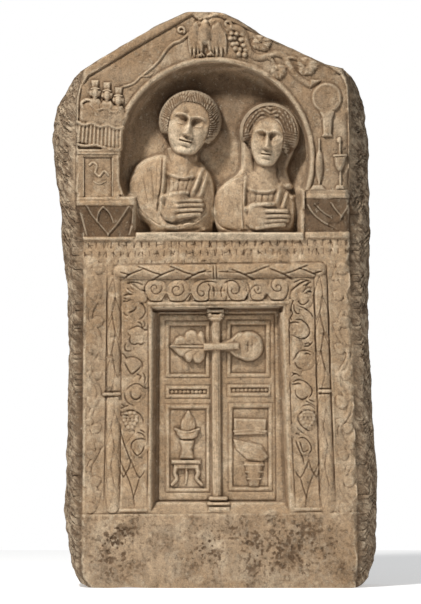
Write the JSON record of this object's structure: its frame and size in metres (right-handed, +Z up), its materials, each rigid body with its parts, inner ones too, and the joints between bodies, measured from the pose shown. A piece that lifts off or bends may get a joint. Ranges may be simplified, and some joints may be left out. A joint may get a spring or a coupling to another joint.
{
  "type": "carved stone door stele",
  "caption": "Upright slab of carved stone with a gabled top, an arched niche holding two half figures, and a false door in a carved frame over a plain foot.",
  "frame": {"origin": "centre of the block's box, at the level of its underside", "axes": "+Z up, -Y towards the carved front, +X to the right as seen from the front"},
  "size_m": [1.0384, 0.2954, 1.8485],
  "materials": {
    "marble": "matte, weathered"
  },
  "bodies": {
    "root": {"stele": "marble"}
  },
  "joints": []
}
